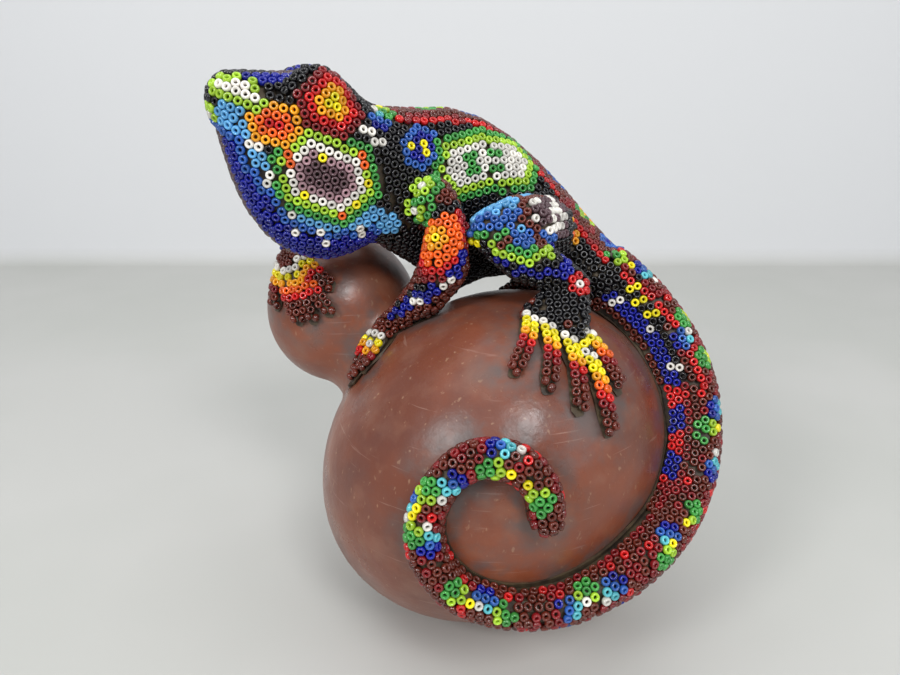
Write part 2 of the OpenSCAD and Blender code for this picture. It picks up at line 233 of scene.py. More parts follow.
class Packing:
    """Beads on the lizard, each touching its neighbours."""

    def __init__(self):
        self.points = []
        self.normals = []
        self.grid = {}
        self.front = deque()
        self.fixed = set()

    def cell(self, p):
        """The grid cell that holds a point."""
        return tuple(int(math.floor(c / SPACING)) for c in p)

    def near(self, p, reach):
        """Beads closer to a point than reach, in its own cell of the grid and those round it."""
        cells = product(*[(c - 1, c, c + 1) for c in self.cell(p)])
        found = [n for cell in cells for n in self.grid.get(cell, ())]
        return [n for n in found if (self.points[n] - p).length < reach]

    def add(self, p, gap=LOOSE):
        """A bead at the surface point nearest p, unless another bead or the gourd is in the way."""
        if p is None:
            return None
        spot, normal, _, away = middle_tree.find_nearest(p)
        if spot is None or away > SPACING or self.near(spot, gap * SPACING):
            return None
        if not clear_of_gourd(spot, normal):
            return None
        return self.place(spot, normal)

    def place(self, spot, normal):
        """A bead exactly at a point; gives its number."""
        self.points.append(spot)
        self.normals.append(normal)
        index = len(self.points) - 1
        self.grid.setdefault(self.cell(spot), []).append(index)
        self.front.append(index)
        return index

    def row(self, path, gap=LOOSE):
        """Beads at even steps along a path of points."""
        made = [self.add(p, gap) for p in even_steps(path, SPACING)]
        return [index for index in made if index is not None]

    def grow(self, gap=LOOSE):
        """New beads in the hollows between beads that touch, until there is no room."""
        while self.front:
            i = self.front.popleft()
            p, n = self.points[i], self.normals[i]
            others = sorted(
                self.near(p, NEIGHBOUR * SPACING), key=lambda q: (self.points[q] - p).length
            )
            others = [q for q in others if q != i]
            if not others:
                side = n.orthogonal().normalized()
                self.add(p + side * SPACING, gap)
                others = [q for q in self.near(p, NEIGHBOUR * SPACING) if q != i]
            for q in others:
                for way in (1, -1):
                    spot = self.apex(p, self.points[q], n, way)
                    if spot is not None:
                        self.add(spot, gap)

    def apex(self, p, q, n, way):
        """The place that touches two beads, on one side of them."""
        across = n.cross(q - p).normalized() * way
        c = (p + q) / 2 + across * SPACING * TRIANGLE
        for _ in range(3):
            spot, normal = middle_tree.find_nearest(c)[:2]
            if spot is None or normal.dot(n) < SAME_FACE:
                return None
            c = spot
            for other in (p, q):
                gap = c - other
                c = c + gap.normalized() * (SPACING - gap.length) * 0.5
        return c

    def relax(self, rounds):
        """Beads that overlap move apart over the surface."""
        for _ in range(rounds):
            tree = point_tree(self.points)
            moved = []
            for i, p in enumerate(self.points):
                push = Vector()
                for q, j, away in tree.find_range(p, SPACING):
                    if j != i and away > 1e-6:
                        push += (p - q) / away * (SPACING - away) * GIVE
                moved.append(p + push)
            for i, p in enumerate(moved):
                if i in self.fixed:
                    continue
                spot, normal = middle_tree.find_nearest(p)[:2]
                if clear_of_gourd(spot, normal):
                    self.points[i], self.normals[i] = spot, normal
        self.grid = {}
        for i, p in enumerate(self.points):
            self.grid.setdefault(self.cell(p), []).append(i)

    def fill(self, gap):
        """One more growth from every bead, with a smaller gap."""
        self.front.extend(range(len(self.points)))
        self.grow(gap)


def clear_of_gourd(spot, normal):
    """True if a bead, upright or leaning, stays over the gourd's surface."""
    near, out = gourd_tree.find_nearest(spot)[:2]
    height = (spot - near).dot(out)
    lean = math.sqrt(max(0, 1 - normal.dot(out) ** 2))
    flat = abs(normal.dot(out))
    return height > GOURD_GAP + RADIUS_PART * BEAD_RADIUS * lean + HEIGHT_PART * BEAD_HEIGHT * flat


def even_steps(path, step):
    """Points a fixed step apart along a polyline."""
    points = [path[0]]
    spare = 0.0
    for a, b in zip(path, path[1:]):
        length = (b - a).length
        at = step - spare
        while at <= length:
            points.append(a.lerp(b, at / length))
            at += step
        spare = (spare + length) % step
    return points


# ---- Lines through the body: a place is given as millimetres along a line and degrees round it

# Distance between the places along a line that a bead is compared with, and the share of a bead's
# distance from the line that counts as distance along it.
SAMPLE_STEP = 0.5
SIDEWAYS = 0.02


class BodyLine:
    """A line through the middle of a limb. Angle 90 points away from the line's own centre point."""

    def __init__(self, points, away_from=None):
        self.points = [Vector(p) for p in points]
        self.away_from = away_from
        self.marks = [0.0]
        for a, b in zip(self.points, self.points[1:]):
            self.marks.append(self.marks[-1] + (b - a).length)
        self.length = self.marks[-1]
        ends = [self.points[0]] + self.points + [self.points[-1]]
        self.tangents = [(ends[i + 2] - ends[i]).normalized() for i in range(len(self.points))]
        self.samples = [self.at(k * SAMPLE_STEP) for k in range(int(self.length / SAMPLE_STEP) + 1)]

    def at(self, along):
        """Centre, tangent, side and up at a distance along the line."""
        along = min(max(along, 0), self.length)
        i = max(k for k in range(len(self.points) - 1) if self.marks[k] <= along)
        t = (along - self.marks[i]) / (self.marks[i + 1] - self.marks[i])
        centre = self.points[i].lerp(self.points[i + 1], t)
        tangent = self.tangents[i].lerp(self.tangents[i + 1], t).normalized()
        up = Vector((0, 0, 1)) if self.away_from is None else centre - self.away_from
        side = tangent.cross(up).normalized()
        return centre, tangent, side, side.cross(tangent)

    def spot(self, along, angle):
        """The place on the beads' surface at an angle round the line."""
        centre, _, side, up = self.at(along)
        a = math.radians(angle)
        return middle_tree.ray_cast(centre, side * math.cos(a) + up * math.sin(a))[0]

    def measure(self, points):
        """Distance along and angle round the line for many points."""
        p = np.array(points)[:, None, :]
        centre, tangent, side, up = (np.array([s[k] for s in self.samples]) for k in range(4))
        offset = p - centre
        behind = np.abs((offset * tangent).sum(2)) + SIDEWAYS * np.linalg.norm(offset, axis=2)
        best = behind.argmin(1)
        offset = offset[np.arange(len(best)), best]
        angle = np.degrees(np.arctan2((offset * up[best]).sum(1), (offset * side[best]).sum(1)))
        return best * SAMPLE_STEP, angle


# The middle of the trunk from the snout to the rump, from the bulb's centre. Angle 0 is the
# lizard's left and 90 is up.
TRUNK = [
    (-61, -9.5, 83.5), (-51.8, -5.5, 79), (-41.2, -1, 75), (-32.9, 2.5, 73), (-25.6, 5.9, 70),
    (-18.5, 11, 68), (-9.5, 15.8, 66.8), (-0.5, 17.3, 62.8), (8.6, 16, 56.4), (17, 12.5, 49.8),
    (24.4, 8.2, 45), (28.8, 4.4, 41.4),
]
# The middle of the tail: turn and rise from the bulb's centre, and height over the gourd. Angle 0 is
# the inner side of the coil and 90 is away from the gourd.
TAIL = [
    (14.5, 60.5, 9.9), (11, 57, 8.8), (5, 49, 8), (-2, 39, 7.4), (-8, 29, 7), (-14, 18, 6.4),
    (-22, 7, 6), (-32, -2, 5.6), (-45, -6.5, 5.3), (-60, -11.5, 4.9), (-75, -15, 4.3),
    (-89, -13.5, 3.8), (-101, -7.5, 3.7), (-108, 2, 3.7), (-109.5, 12, 3.7), (-105, 22, 3.6),
    (-97, 27.3, 3.8), (-87, 26, 3.8), (-81.5, 20, 3.6), (-80.5, 13, 3.3),
]
# Limbs from the bulb's centre, shoulder or hip first.
LEFT_ARM = [
    (-20, 3, 64), (-15, -3, 65), (-11.7, -5, 62.3), (-12.2, -7.4, 57), (-12.4, -6.1, 51),
    (-16.4, -2.9, 43.1), (-22.9, 0.3, 36.9), (-26.5, 1, 34),
]
RIGHT_ARM = [(-20, 21, 63), (-29, 29, 64), (-38, 33, 63), (-46, 28, 57), (-51, 14, 50.5)]
LEFT_LEG = [
    (11, 5, 56.5), (5.5, -2.5, 57.8), (-2.1, -5.5, 58.8), (5, -9.5, 53.5), (12, -10, 50.5),
    (17.2, -9.5, 47),
]
RIGHT_LEG = [(14, 25, 56), (6, 31, 56), (0, 36, 55), (7, 37.5, 49), (13, 36, 43), (15.5, 32, 39.5)]
# Toes on the bulb: turn and rise of the root, then of the tip.
LEFT_FINGERS = [
    (186, 49, 195, 40), (184, 47.5, 191, 34), (182, 46.5, 187, 32), (180, 47.5, 184, 35),
    (178.5, 49, 181.5, 41),
]
LEFT_TOES = [
    (-66, 70, -86, 50), (-60, 66, -74.7, 44.3), (-55, 60, -65.9, 37.6), (-52, 54, -57.3, 30.3),
    (-44, 59, -46.5, 39.2),
]
RIGHT_TOES = [
    (80, 54, 99, 38), (74, 52, 86, 31), (68, 50, 74, 26), (62, 50, 62, 27), (57, 54, 50, 36),
]
# Fingers on the small lobe: root and tip as directions from its centre.
RIGHT_FINGERS = [
    ((-6.8, -12.4, 16), (-0.2, -17.8, 11.6)), ((-7.8, -13.7, 14.3), (-0.1, -20.5, 5.9)),
    ((-10, -13, 13.6), (-4.1, -20.5, 3.9)), ((-11.8, -11.8, 13.2), (-8, -19.5, 3.2)),
    ((-13.5, -9.8, 13.2), (-14.6, -14.5, 5.5)),
]


def from_bulb(points):
    """Points counted from the bulb's centre, as points of the frame."""
    return [BULB + Vector(p) for p in points]


def tail_middle():
    """Points along the middle of the tail, each at its height over the gourd."""
    points = []
    for turn, rise, height in TAIL:
        ray = direction(turn, rise)
        surface = gourd_tree.ray_cast(BULB + ray * FAR, -ray)[0]
        points.append(surface + ray * height)
    return points


trunk = BodyLine(from_bulb(TRUNK))
tail = BodyLine(tail_middle(), away_from=BULB)
left_arm = BodyLine(from_bulb(LEFT_ARM), away_from=BULB + Vector((-12, 40, 52)))
left_leg = BodyLine(from_bulb(LEFT_LEG), away_from=BULB + Vector((8, 20, 44)))
right_arm = BodyLine(from_bulb(RIGHT_ARM), away_from=BULB + Vector((-30, -10, 50)))
right_leg = BodyLine(from_bulb(RIGHT_LEG), away_from=BULB + Vector((8, 10, 44)))

# The ridge of the back leans to the lizard's right towards the rump.
RIDGE = [(0, 90), (55, 90), (80, 104), (108, 108)]


def on_curve(curve, at):
    """The second value of a curve of pairs where the first is at."""
    return np.interp(at, [pair[0] for pair in curve], [pair[1] for pair in curve])


def ridge_angle(along):
    return float(on_curve(RIDGE, along))


# ---- Beads in rows and at the middles of patterns, then all over

# Distance between the places that a row's path is drawn through.
PATH_STEP = 1.0
# Beads cover these parts of a toe's way from its root in the foot to its tip.
TOE_STEPS = [0.16 + 0.78 * k / 12 for k in range(13)]
# How deep a toe's two rows of beads lie under its crest, and how far they lean outward.
TOE_SINK = 0.35
TOE_LEAN = 0.3
# As parts of the spacing: pitch of a row, its distance from the crest, how far one row is ahead of
# the other, each way, and the least gap to beads of another toe.
TOE_PITCH = 0.98
TOE_ASIDE = 0.48
TOE_AHEAD = 0.25
TOE_CLEAR = 0.8
# Angle of the row along the tail that its colours are counted from, and where the row ends.
TAIL_ROW_ANGLE = -22
TAIL_ROW_END = 110
# Later rounds of growth, each with a smaller gap, and the rounds of relaxing before and after them.
LATER_GAPS = (0.82, 0.78, 0.74, 0.7)
RELAX_ROUNDS = 14
LAST_ROUNDS = 20


def line_row(line, start, end, angle):
    """A row of beads along a line; the angle is a number or a function of the distance."""
    path = []
    along = start
    while along <= end:
        hit = line.spot(along, angle(along) if callable(angle) else angle)
        if hit is not None:
            path.append(hit)
        along += PATH_STEP
    return packing.row(path)


def lay_toe(rays, centre):
    """Two rows of beads along a toe's crest, each with its part of the way to the tip."""
    crest = [p for p in (over(centre, ray) for ray in rays) if p is not None]
    laid = []
    if len(crest) < 3:
        return laid
    steps = even_steps(crest, SPACING * TOE_PITCH)
    ahead = (crest[-1] - crest[0]).normalized()
    for way in (-1, 1):
        for n, p in enumerate(steps):
            up = (p - centre).normalized()
            side = up.cross(ahead).normalized() * way
            shift = ahead * SPACING * (TOE_AHEAD * way)
            spot = p + side * SPACING * TOE_ASIDE + shift - up * TOE_SINK
            if packing.near(spot, TOE_CLEAR * SPACING):
                continue
            index = packing.place(spot, (up + side * TOE_LEAN).normalized())
            packing.fixed.add(index)
            laid.append((index, n / (len(steps) - 1)))
    return laid


packing = Packing()
toe_beads = {"left_leg": [], "right_leg": [], "left_arm": [], "right_arm": []}
for limb, toes in (("left_leg", LEFT_TOES), ("right_leg", RIGHT_TOES), ("left_arm", LEFT_FINGERS)):
    for turn, rise, tip_turn, tip_rise in toes:
        rays = [
            direction(turn + (tip_turn - turn) * t, rise + (tip_rise - rise) * t) for t in TOE_STEPS
        ]
        toe_beads[limb] += lay_toe(rays, BULB)
for root, tip in RIGHT_FINGERS:
    rays = [Vector(root).normalized().lerp(Vector(tip).normalized(), t) for t in TOE_STEPS]
    toe_beads["right_arm"] += lay_toe(rays, LOBE)

# Patterns: where the core runs on its line (pairs of distance and angle), how far beads belong to
# the core, and the colour of the core and of each ring round it.
HEAD_MOTIFS = [
    ([(22, -18), (26.5, -20)], 1.1, ["mauve", "mauve", "rose", "white", "lime", "green"]),
    ([(21, 44), (22.5, 46)], 1.3, ["yellow", "golden", "red", "darkred"]),
    ([(10.6, 21), (12.4, 17)], 1.2, ["red", "orange", "golden"]),
    ([(0.5, 58), (3, 50), (6.5, 45)], 1.7, ["white", "lime"]),
]
TORSO_MOTIFS = [
    ([(42, 32), (43, 35)], 1.2, ["cobalt", "cobalt", "blue"]),
    ([(55.5, 22), (62, 30), (69, 48)], 2.6, ["white", "white", "lime", "green"]),
    ([(87, 40), (92, 44)], 1.2, ["golden", "orange", "golden"]),
]
motif_rows = []


def core_path(line, core, flip):
    """Points on the beads' surface along a pattern's core, on the line's near or far side."""
    path = []
    for (a0, g0), (a1, g1) in zip(core, core[1:]):
        for k in range(9):
            angle = g0 + (g1 - g0) * k / 8
            path.append(line.spot(a0 + (a1 - a0) * k / 8, 180 - angle if flip else angle))
    return [p for p in path if p is not None]


for core, reach, shades in HEAD_MOTIFS + TORSO_MOTIFS:
    for flip in (False, True):
        path = core_path(trunk, core, flip)
        packing.row(path)
        motif_rows.append((path, reach, shades))
ridge_row = line_row(trunk, 2, trunk.length - 4, ridge_angle)
throat_row = line_row(trunk, 0.5, 44, -90)
tail_row = line_row(tail, 3, TAIL_ROW_END, TAIL_ROW_ANGLE)
line_row(tail, TAIL_ROW_END + 2, tail.length, 60)
packing.grow()
for gap in LATER_GAPS:
    packing.relax(RELAX_ROUNDS)
    packing.fill(gap)
packing.relax(LAST_ROUNDS)


# ---- Colours

# Beads at most this part of the spacing apart touch.
TOUCHING = 1.38
# More rings than any pattern has.
NO_RING = 99


def region_of(p):
    """The part of the lizard that a bead belongs to."""
    return min(REGIONS, key=lambda r: region_trees[r].find_nearest(p)[3])


regions = [region_of(p) for p in packing.points]
members = {r: [i for i, q in enumerate(regions) if q == r] for r in REGIONS}
along_trunk, angle_trunk = trunk.measure(packing.points)
along_tail, angle_tail = tail.measure(packing.points)
# The angle round the trunk, counted the same way on both of its sides.
folded = np.where(angle_trunk > 90, 180 - angle_trunk, angle_trunk)
folded = np.where(folded < -90, -180 - folded, folded)
bead_tree = point_tree(packing.points)
touching = []
for i, p in enumerate(packing.points):
    normal = packing.normals[i]
    touching.append([
        j for _, j, _ in bead_tree.find_range(p, TOUCHING * SPACING)
        if j != i and packing.normals[j].dot(normal) > SAME_FACE
    ])
colours = ["black"] * len(packing.points)
GREEN_FLOWER = ["green", "green", "lime", "yellow"]
BLUE_FLOWER = ["cobalt", "blue", "turquoise", "white"]
# Under the mouth, both the distance along the trunk and the folded angle are at most this.
MOUTH = 5
# Along a flower's heading, in parts of the spacing: where its second and third shades start, and
# where its outlying bead is.
SECOND_SHADE = -0.3
THIRD_SHADE = 0.4
OUTLIER = 1.8


def rings(cores, depth):
    """Each bead within some steps of the core beads, with its number of steps."""
    steps = {c: 0 for c in cores}
    front = deque(cores)
    while front:
        i = front.popleft()
        if steps[i] == depth:
            continue
        for j in touching[i]:
            if j not in steps:
                steps[j] = steps[i] + 1
                front.append(j)
    return steps


def near_path(path, reach):
    """Beads within reach of the points of a path, and the one nearest each point."""
    found = set()
    for p in path:
        found.update(j for _, j, _ in bead_tree.find_range(p, reach))
        found.add(bead_tree.find(p)[1])
    return sorted(found)


def paint_rings(path, reach, shades, where=None):
    """Rings of beads round the beads near a path, where a test allows it."""
    for i, n in rings(near_path(path, reach), len(shades) - 1).items():
        if where is None or where(i):
            colours[i] = shades[n]


def mirrored(places, flip):
    """Pairs of distance and angle, moved to the line's other side if flip is true."""
    return [(along, 180 - angle if flip else angle) for along, angle in places]


def spots(line, places, flip=False):
    """Points on the beads' surface at pairs of distance and angle."""
    found = [line.spot(along, angle) for along, angle in mirrored(places, flip)]
    return [p for p in found if p is not None]


def paint_spots(line, places, shade, flip=False):
    for spot in spots(line, places, flip):
        colours[bead_tree.find(spot)[1]] = shade


def flower(line, along, angle, shades, heading):
    """Seven beads round one, shaded towards a heading, with one more bead at the far end."""
    spot = line.spot(along, angle)
    if spot is None:
        return
    centre = bead_tree.find(spot)[1]
    middle_point = packing.points[centre]
    tangent = line.at(along)[1]
    turned = packing.normals[centre].cross(tangent).normalized()
    a = math.radians(heading)
    way = tangent * math.cos(a) + turned * math.sin(a)
    for j in [centre] + touching[centre]:
        ahead = (packing.points[j] - middle_point).dot(way) / SPACING
        shade = 0 if ahead < SECOND_SHADE else 1 if ahead < THIRD_SHADE else 2
        colours[j] = shades[shade]
    colours[bead_tree.find(middle_point + way * OUTLIER * SPACING)[1]] = shades[3]


# The pale band over the jaw, from the mouth to the neck, as distance along the trunk and angle.
MOUTH_BAND = [
    (1.5, 13), (5, 3), (8, -10), (10.5, -32), (13, -42), (19.5, -55), (27, -58), (34, -51), (40, -46),
]
BAND_REACH = 0.9
# Along the trunk: the crown's dark stripe and its blue edges, then the brown nape and its red edges.
CROWN = (9, 20)
CROWN_EDGES = (4, 24)
NAPE_FROM = 30
NAPE_EDGES_FROM = 32
# Small marks by distance along the trunk and angle, and the step to a jaw pair's second bead.
JAW_PAIRS = [(8, -8), (13, -38), (19.5, -57), (27, -60), (34, -52)]
JAW_STEP = 1.2
JAW_TURN = -8
MARKS = [
    ([(30, 31), (32, 30), (32.5, 27), (34, 23), (31, 34)], "white"),
    ([(22, 2), (32.5, -12), (20.5, -38), (31, -37)], "yellow"),
    ([(15.5, -13), (17, -15), (31.5, 4), (30.5, 7), (29, -45), (29.5, -49)], "orange"),
    ([(40, 36), (40.5, 32), (44, 38), (44.5, 33)], "yellow"),
    ([(55.5, 27.5), (57.2, 29), (58.8, 30.5), (63, 37.5), (64.5, 42.7)], "green"),
    ([(57.5, 13.5), (59.2, 15.5), (65.2, 29), (66.5, 34)], "green"),
]
NAPE_FLOWERS = [(35, 66, GREEN_FLOWER), (33, 52, BLUE_FLOWER)]


def paint_head():
    """Cobalt jaw with a paler band over it, black above, and a dark stripe on the crown."""
    from_throat = rings(throat_row, 1)
    from_ridge = rings(ridge_row, 4)
    band = []
    for flip in (False, True):
        band += near_path(core_path(trunk, MOUTH_BAND, flip), BAND_REACH)
    from_band = rings(band, 1)
    edge = on_curve(MOUTH_BAND, along_trunk)
    for i in members["head"]:
        along, high = along_trunk[i], from_ridge.get(i, NO_RING)
        below = folded[i] < edge[i] and along < MOUTH_BAND[-1][0]
        if i in from_band:
            colours[i] = "sky" if from_band[i] == 0 or not below else "blue"
        elif i in from_throat:
            colours[i] = "mauve"
        elif below:
            colours[i] = "cobalt"
        elif high <= 1 and CROWN[0] < along < CROWN[1]:
            colours[i] = "mauve"
        elif high <= 1:
            colours[i] = "brown" if along > NAPE_FROM else "black"
        elif high in (2, 3) and CROWN_EDGES[0] < along < CROWN_EDGES[1]:
            colours[i] = "cobalt"
        elif high in (2, 3) and along > NAPE_EDGES_FROM:
            colours[i] = "darkred"


def paint_accents():
    """White pairs on the jaw, and the small marks of the nape, the cheek and the shoulder."""
    for flip in (False, True):
        for along, angle in JAW_PAIRS:
            pair = [(along, angle), (along + JAW_STEP, angle + JAW_TURN)]
            paint_spots(trunk, pair, "white", flip)
        for places, shade in MARKS:
            paint_spots(trunk, places, shade, flip)
        for along, angle, shades in NAPE_FLOWERS:
            flower(trunk, along, 180 - angle if flip else angle, shades, 90)


# Flowers on the ridge of the back, by distance along the trunk, green and blue in turn.
BACK_FLOWERS = range(50, 110, 10)
BACK_GREEN = ["green", "lime", "green", "lime"]
BACK_BLUE = ["blue", "cobalt", "blue", "blue"]


def paint_torso():
    """Brown back with red edges and small flowers; black elsewhere."""
    from_ridge = rings(ridge_row, 5)
    for i in members["torso"]:
        n = from_ridge.get(i, NO_RING)
        if n <= 3:
            colours[i] = random.choice(["brown", "brown", "darkred"])
        elif n == 4:
            colours[i] = random.choice(["red", "red", "darkred"])
    for k, along in enumerate(BACK_FLOWERS):
        flower(trunk, along, ridge_angle(along), BACK_BLUE if k % 2 else BACK_GREEN, 0)


# The row along the tail is blue as far as BLUE_END, then red with blue dashes. Black and red lines
# run beside it, all between the angles ROW_SIDES.
ROW_SIDES = (-120, 45)
BLUE_END = 36
DASHES_END = 62
DASH_PITCH = 13
DASH_GAP = 5
WIDE_BLACK_END = 22
RED_LINE_END = 40
# Pairs of single beads near the tail's root: place of the first, step to the second, and shade.
TAIL_PAIRS = [
    (8, -31, 1.6, 8, "white"), (19, -25, 1.6, 8, "white"), (30.5, -17, 1.6, 8, "white"),
    (9, -2, 1, 16, "yellow"), (13, -2, 1, 16, "yellow"), (17, -2, 1, 16, "yellow"),
]
# Distance, angle, shades and heading of the tail's flowers. As far as TWINS_END each has a twin over
# the crest of the tail; their angles add up to TWIN_ANGLES.
TWINS_END = 110
TWIN_ANGLES = 220
TAIL_FLOWERS = [
    (2, 40, GREEN_FLOWER, 0), (8, 66, BLUE_FLOWER, 0), (21.5, 57, GREEN_FLOWER, 90),
    (26, 36, BLUE_FLOWER, 90), (32, 56, GREEN_FLOWER, 90), (42.5, 62, BLUE_FLOWER, 90),
    (48, 38, GREEN_FLOWER, 90), (55, 60, BLUE_FLOWER, 180), (67.5, 58, GREEN_FLOWER, 0),
    (74.5, 32, BLUE_FLOWER, 40), (79.5, 68, GREEN_FLOWER, 200), (92, 59, BLUE_FLOWER, 40),
    (97.5, 22, GREEN_FLOWER, 60), (103, 53, BLUE_FLOWER, 180), (115.5, 48, GREEN_FLOWER, 0),
    (121, 10, BLUE_FLOWER, 90), (128.5, 52, GREEN_FLOWER, 180), (140, 70, BLUE_FLOWER, 0),
    (142, 128, GREEN_FLOWER, 0), (148, 145, BLUE_FLOWER, 180), (154, 52, BLUE_FLOWER, 180),
    (150.5, 125, GREEN_FLOWER, 180), (163.5, 68, GREEN_FLOWER, 0), (165, 130, BLUE_FLOWER, 0),
    (176.5, 75, GREEN_FLOWER, 180),
]


def paint_tail():
    """Brown and dark red with a row of blue and red, black lines beside it, and flowers."""
    from_row = rings(tail_row, 6)
    for i in members["tail"]:
        along, angle = along_tail[i], angle_tail[i]
        colours[i] = random.choices(["brown", "darkred", "red"], [6, 4, 1])[0]
        if i not in from_row or not ROW_SIDES[0] <= angle <= ROW_SIDES[1]:
            continue
        n = from_row[i] if angle > TAIL_ROW_ANGLE else -from_row[i]
        dash = (along - BLUE_END) % DASH_PITCH > DASH_GAP
        if n <= -2:
            colours[i] = "brown"
        elif n in (-1, 0) and along < DASHES_END:
            colours[i] = "cobalt" if along < BLUE_END or dash else "red"
        elif n in (1, 2) and along < WIDE_BLACK_END:
            colours[i] = "black"
        elif n == 1 and along < BLUE_END:
            colours[i] = "black"
        elif n == 3 and along < RED_LINE_END:
            colours[i] = "red"
    for along, angle, step, turn, shade in TAIL_PAIRS:
        paint_spots(tail, [(along, angle), (along + step, angle + turn)], shade)
    for along, angle, shades, heading in TAIL_FLOWERS:
        flower(tail, along, angle, shades, heading)
        if along < TWINS_END:
            flower(tail, along, TWIN_ANGLES - angle, shades, heading)


# Along the arm: the black ring under the shoulder, where the forearm's rings and band start, the
# rings' middle, and the band's white pairs with the step and the turn to their second beads.
SHOULDER_RING = (11.5, 13.5)
FOREARM_FROM = 13.3
BAND_FROM = 20
FOREARM_SPOT = (17.5, 70)
FOREARM_RINGS = ["yellow", "golden", "orange", "orange", "red", "darkred"]
BAND_PAIRS = (24.5, 34)
PAIR_STEP = 1.8
PAIR_TURN = -7.2
# Angle of the blue band under the forearm, by distance along the arm, then the degrees from it to
# its black edge, its blue and its far edge.
FOREARM_BAND = [(14, 165), (21, 144), (26.5, 106), (31, 78), (35, 62), (40, 52), (47, 50)]
BLACK_FROM = -34
BLUE_FROM = -20
BLUE_TO = 22
# Small ovals on the shoulder, as distance along the arm and angle.
SHOULDER_OVALS = [(7.5, 45), (7.5, 112)]


def paint_arm(limb, line, flip):
    """Brown arm with rings on the forearm, a blue band under them, and ovals on the shoulder."""
    along, angle = line.measure(packing.points)
    angle = 180 - angle if flip else angle
    for i in members[limb]:
        past = angle[i] - on_curve(FOREARM_BAND, along[i])
        past = (past + 180) % 360 - 180
        colours[i] = "brown"
        if along[i] > BAND_FROM and BLACK_FROM < past < BLUE_FROM:
            colours[i] = "black"
        elif along[i] > BAND_FROM and BLUE_FROM <= past < BLUE_TO:
            colours[i] = "cobalt"
        if SHOULDER_RING[0] < along[i] < SHOULDER_RING[1]:
            colours[i] = "black"
    core = near_path(spots(line, [FOREARM_SPOT], flip), 1.1)
    for i, n in rings(core, len(FOREARM_RINGS) - 1).items():
        if regions[i] == limb and along[i] > FOREARM_FROM and colours[i] != "cobalt":
            colours[i] = FOREARM_RINGS[n]
    for place in BAND_PAIRS:
        turn = on_curve(FOREARM_BAND, place)
        second = turn if flip else turn + PAIR_TURN
        pair = [(place, turn), (place + PAIR_STEP, second)]
        paint_spots(line, pair, "white", flip)
    for place in SHOULDER_OVALS:
        core = spots(line, [place], flip)
        paint_rings(core, 1.2, ["white", "lime", "green"], lambda i: regions[i] == limb)


# The thigh's pattern goes by x and by the rise round its middle, in degrees, within these bounds.
THIGH_LOW = -21
THIGH_END = 21.5
# Brown gaps between the three columns: x at the rise GAP_LOW, and the move in x over GAP_RISE.
GAPS = [(5.4, 4.5), (14.4, -3)]
GAP_LOW = -10
GAP_RISE = 70
GAP_FROM = -8
GAP_HALF = 0.9
# Shades of the columns by their upper edge in degrees, and of the stripes at the inner end by x.
OUTER_COLUMNS = [(-12, "lime"), (-2, "green"), (26, "blue"), (38, "sky"), (360, "white")]
INNER_COLUMN = [(10, "lime"), (24, "green"), (70, "blue"), (360, "sky")]
INNER_STRIPES = [(1.4, "yellow"), (3.2, "black"), (5.4, "lime")]
STRIPES_TOP = 4
# Over this rise the outer columns are chequered with mauve.
CHEQUER_FROM = 50
CHEQUER_WIDE = 2
CHEQUER_HIGH = 9
# A blue line under the thigh, in degrees of rise, from this x and not far below the middle.
LINE_RISE = (-40, -27)
LINE_FROM = 3
LINE_DROP = 10


def shade_at(column, at):
    return next(shade for end, shade in column if at < end)


def thigh_shade(x, rise):
    """The shade of a bead on the thigh."""
    lean = (rise - GAP_LOW) / GAP_RISE
    first, second = (start + move * lean for start, move in GAPS)
    if x < INNER_STRIPES[-1][0] and rise < STRIPES_TOP:
        return shade_at(INNER_STRIPES, x)
    if min(abs(x - first), abs(x - second)) < GAP_HALF and rise > GAP_FROM:
        return "brown"
    if x < first:
        return shade_at(INNER_COLUMN, rise)
    if rise > CHEQUER_FROM and x > first and int(x / CHEQUER_WIDE + rise / CHEQUER_HIGH) % 2:
        return "mauve"
    return shade_at(OUTER_COLUMNS, rise)


def paint_leg(limb, middle_y, middle_z, way):
    """Columns over the thigh, each shaded upward. Way is the side of the leg that faces out."""
    for i in members[limb]:
        p = packing.points[i]
        rise = math.degrees(math.atan2(p.z - middle_z, (p.y - middle_y) * way))
        colours[i] = "black"
        if rise > THIGH_LOW and p.x < THIGH_END:
            colours[i] = thigh_shade(p.x, rise)
        elif LINE_RISE[0] < rise < LINE_RISE[1] and p.x > LINE_FROM and p.z > middle_z - LINE_DROP:
            colours[i] = "cobalt"


TOE_SHADES = ["white", "yellow", "yellow", "golden", "orange", "red", "darkred", "brown", "brown"]
HAND_SHADES = ["yellow", "golden", "golden", "orange", "red", "darkred", "brown", "brown"]
# The part of a toe, from its root, that counts as palm.
PALM_PART = 0.12
# Beads of a limb that are this close to the gourd, and beside no toe, have the toes' last shade.
HEM = 3.5


def toe_shade(part, shades):
    return shades[min(int(part * len(shades)), len(shades) - 1)]


def paint_hand_or_foot(limb, shades, palm=None):
    """Toes shaded to their tips. A bead beside a toe takes its shade, or the palm's at its root."""
    parts = dict(toe_beads[limb])
    for i, part in parts.items():
        colours[i] = toe_shade(part, shades)
    for i in members[limb]:
        if i in parts:
            continue
        near = [j for j in touching[i] if j in parts]
        if near:
            closest = min(near, key=lambda j: (packing.points[j] - packing.points[i]).length)
            if parts[closest] >= PALM_PART:
                colours[i] = toe_shade(parts[closest], shades)
            elif palm is not None:
                colours[i] = palm
        elif gourd_tree.find_nearest(packing.points[i])[3] < HEM:
            colours[i] = shades[-1]


